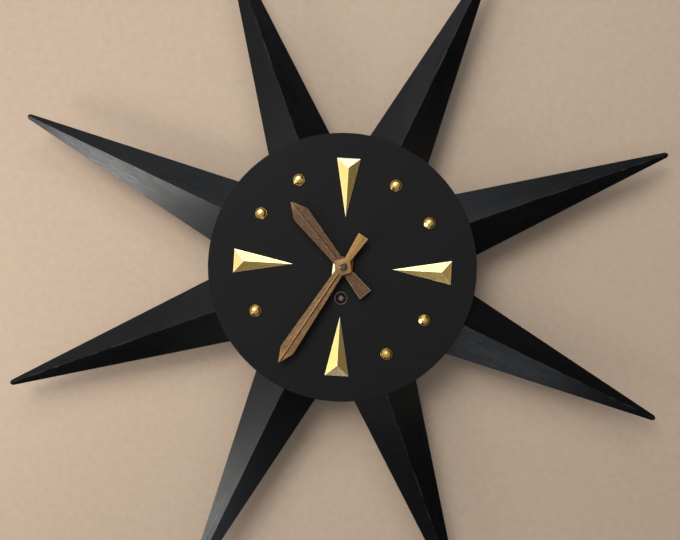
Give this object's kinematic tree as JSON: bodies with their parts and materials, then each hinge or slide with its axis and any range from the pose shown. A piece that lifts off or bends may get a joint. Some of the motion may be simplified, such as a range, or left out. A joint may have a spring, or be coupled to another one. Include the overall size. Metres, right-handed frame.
{
  "type": "sunburst wall clock",
  "caption": "Round black-faced wall clock ringed by long tapered ridged rays, with brass markers, pointed hands and a key-wound spring movement behind the dial.",
  "frame": {"origin": "on the hands' axis, in the plane of the wall that the back cover's floor touches", "axes": "+Z towards twelve o'clock, +Y into the wall, so the dial faces -Y, and +X towards three o'clock"},
  "size_m": [0.6194, 0.0581, 0.6194],
  "materials": {
    "dial_black": "satin",
    "silver_ring": "satin",
    "marker_brass": "polished",
    "black_lacquered_wood": "semi-gloss lacquer",
    "hub_wood": "stained",
    "dowel_wood": "raw",
    "zinc_steel": "zinc plated",
    "black_cover": "matte",
    "hour_hand_walnut": "grained walnut look, satin",
    "minute_hand_walnut": "grained walnut look with gold, satin",
    "nut_bronze": "dark bronze",
    "plate_brass": "satin",
    "bright_steel": "polished",
    "blued_spring": "blued"
  },
  "bodies": {
    "case": {"dial": "dial_black", "winding_eyelet": "silver_ring", "marker_12": "marker_brass", "marker_3": "marker_brass", "marker_6": "marker_brass", "marker_9": "marker_brass", "hour_dots": "marker_brass", "ray_1": "black_lacquered_wood", "ray_2": "black_lacquered_wood", "ray_3": "black_lacquered_wood", "ray_4": "black_lacquered_wood", "ray_5": "black_lacquered_wood", "ray_6": "black_lacquered_wood", "ray_7": "black_lacquered_wood", "ray_8": "black_lacquered_wood", "hub": "hub_wood", "ray_screws": "zinc_steel", "ray_dowels": "dowel_wood", "dial_feet": "zinc_steel", "dial_nuts": "zinc_steel", "back_cover": "black_cover", "cover_screws": "zinc_steel", "hanger_plate": "zinc_steel", "hanger_rivets": "zinc_steel", "front_plate": "plate_brass", "back_plate": "plate_brass", "pillars": "plate_brass", "pillar_nuts": "zinc_steel", "movement_posts": "plate_brass", "movement_screws": "zinc_steel", "click_spring": "blued_spring", "hairspring_stud": "plate_brass", "balance_cups": "bright_steel"},
    "minute": {"centre_arbor": "bright_steel", "centre_wheel": "plate_brass", "cannon_pinion": "plate_brass", "minute_hand": "minute_hand_walnut", "hand_nut": "nut_bronze"},
    "hour": {"hour_wheel": "plate_brass", "hour_collet": "plate_brass", "hour_hand": "hour_hand_walnut"},
    "motion": {"minute_wheel": "plate_brass"},
    "barrel": {"barrel": "plate_brass", "barrel_cap": "plate_brass", "mainspring": "blued_spring"},
    "winding": {"winding_arbor": "bright_steel", "ratchet_wheel": "bright_steel"},
    "click": {"click": "bright_steel"},
    "second": {"second_wheel": "plate_brass"},
    "third": {"third_wheel": "plate_brass"},
    "fourth": {"fourth_wheel": "plate_brass"},
    "escape": {"escape_wheel": "plate_brass"},
    "lever": {"pallet_lever": "bright_steel"},
    "balance": {"balance_wheel": "plate_brass", "balance_staff": "bright_steel", "hairspring": "blued_spring"},
    "regulator": {"regulator": "bright_steel"}
  },
  "joints": [
    {"name": "minute_hand_spin", "type": "hinge", "parent": "case", "child": "minute", "pos_m": [0, -0.03, 0], "axis": [0, 1, 0], "continuous": true},
    {"name": "hour_hand_spin", "type": "hinge", "parent": "case", "child": "hour", "pos_m": [0, -0.045, 0], "axis": [0, 1, 0], "continuous": true},
    {"name": "minute_wheel_spin", "type": "hinge", "parent": "case", "child": "motion", "pos_m": [-0.01039, -0.036, 0.006], "axis": [0, 1, 0], "continuous": true},
    {"name": "second_wheel_spin", "type": "hinge", "parent": "case", "child": "second", "pos_m": [-0.01424, -0.02, -0.01101], "axis": [0, 1, 0], "continuous": true},
    {"name": "barrel_spin", "type": "hinge", "parent": "case", "child": "barrel", "pos_m": [0, -0.017, -0.0292], "axis": [0, 1, 0], "continuous": true},
    {"name": "third_wheel_spin", "type": "hinge", "parent": "case", "child": "third", "pos_m": [-0.01403, -0.02, 0.0081], "axis": [0, 1, 0], "continuous": true},
    {"name": "fourth_wheel_spin", "type": "hinge", "parent": "case", "child": "fourth", "pos_m": [-0.00392, -0.02, 0.0172], "axis": [0, 1, 0], "continuous": true},
    {"name": "escape_wheel_spin", "type": "hinge", "parent": "case", "child": "escape", "pos_m": [0.00849, -0.022, 0.01939], "axis": [0, 1, 0], "continuous": true},
    {"name": "winding", "type": "hinge", "parent": "case", "child": "winding", "pos_m": [0, -0.03, -0.0292], "axis": [0, 1, 0], "range_deg": [0, 2520], "deforming": ["mainspring"]},
    {"name": "click_lift", "type": "hinge", "parent": "case", "child": "click", "pos_m": [-0.00383, -0.034, -0.01741], "axis": [0, -1, 0], "range_deg": [0, 12], "stiffness_Nm_per_rad": 0.002, "springref_deg": -11.46, "deforming": ["click_spring"]},
    {"name": "lever_rock", "type": "hinge", "parent": "case", "child": "lever", "pos_m": [0.01363, -0.022, 0.02552], "axis": [0, 1, 0], "range_deg": [-5, 5]},
    {"name": "balance_swing", "type": "hinge", "parent": "case", "child": "balance", "pos_m": [0.0198, -0.017, 0.03287], "axis": [0, 1, 0], "range_deg": [-360, 240], "stiffness_Nm_per_rad": 0.000003, "springref_deg": -60, "deforming": ["hairspring"]},
    {"name": "regulator_turn", "type": "hinge", "parent": "case", "child": "regulator", "pos_m": [0.0198, -0.007, 0.03287], "axis": [0, 1, 0], "range_deg": [-20, 20]}
  ],
  "couplings": [
    {"joint": "hour_hand_spin", "follows": "minute_hand_spin", "ratio": 0.083333},
    {"joint": "minute_wheel_spin", "follows": "minute_hand_spin", "ratio": -0.33333},
    {"joint": "second_wheel_spin", "follows": "minute_hand_spin", "ratio": -0.2},
    {"joint": "barrel_spin", "follows": "minute_hand_spin", "ratio": 0.033333},
    {"joint": "third_wheel_spin", "follows": "minute_hand_spin", "ratio": -8},
    {"joint": "fourth_wheel_spin", "follows": "minute_hand_spin", "ratio": 60},
    {"joint": "escape_wheel_spin", "follows": "minute_hand_spin", "ratio": -480}
  ]
}
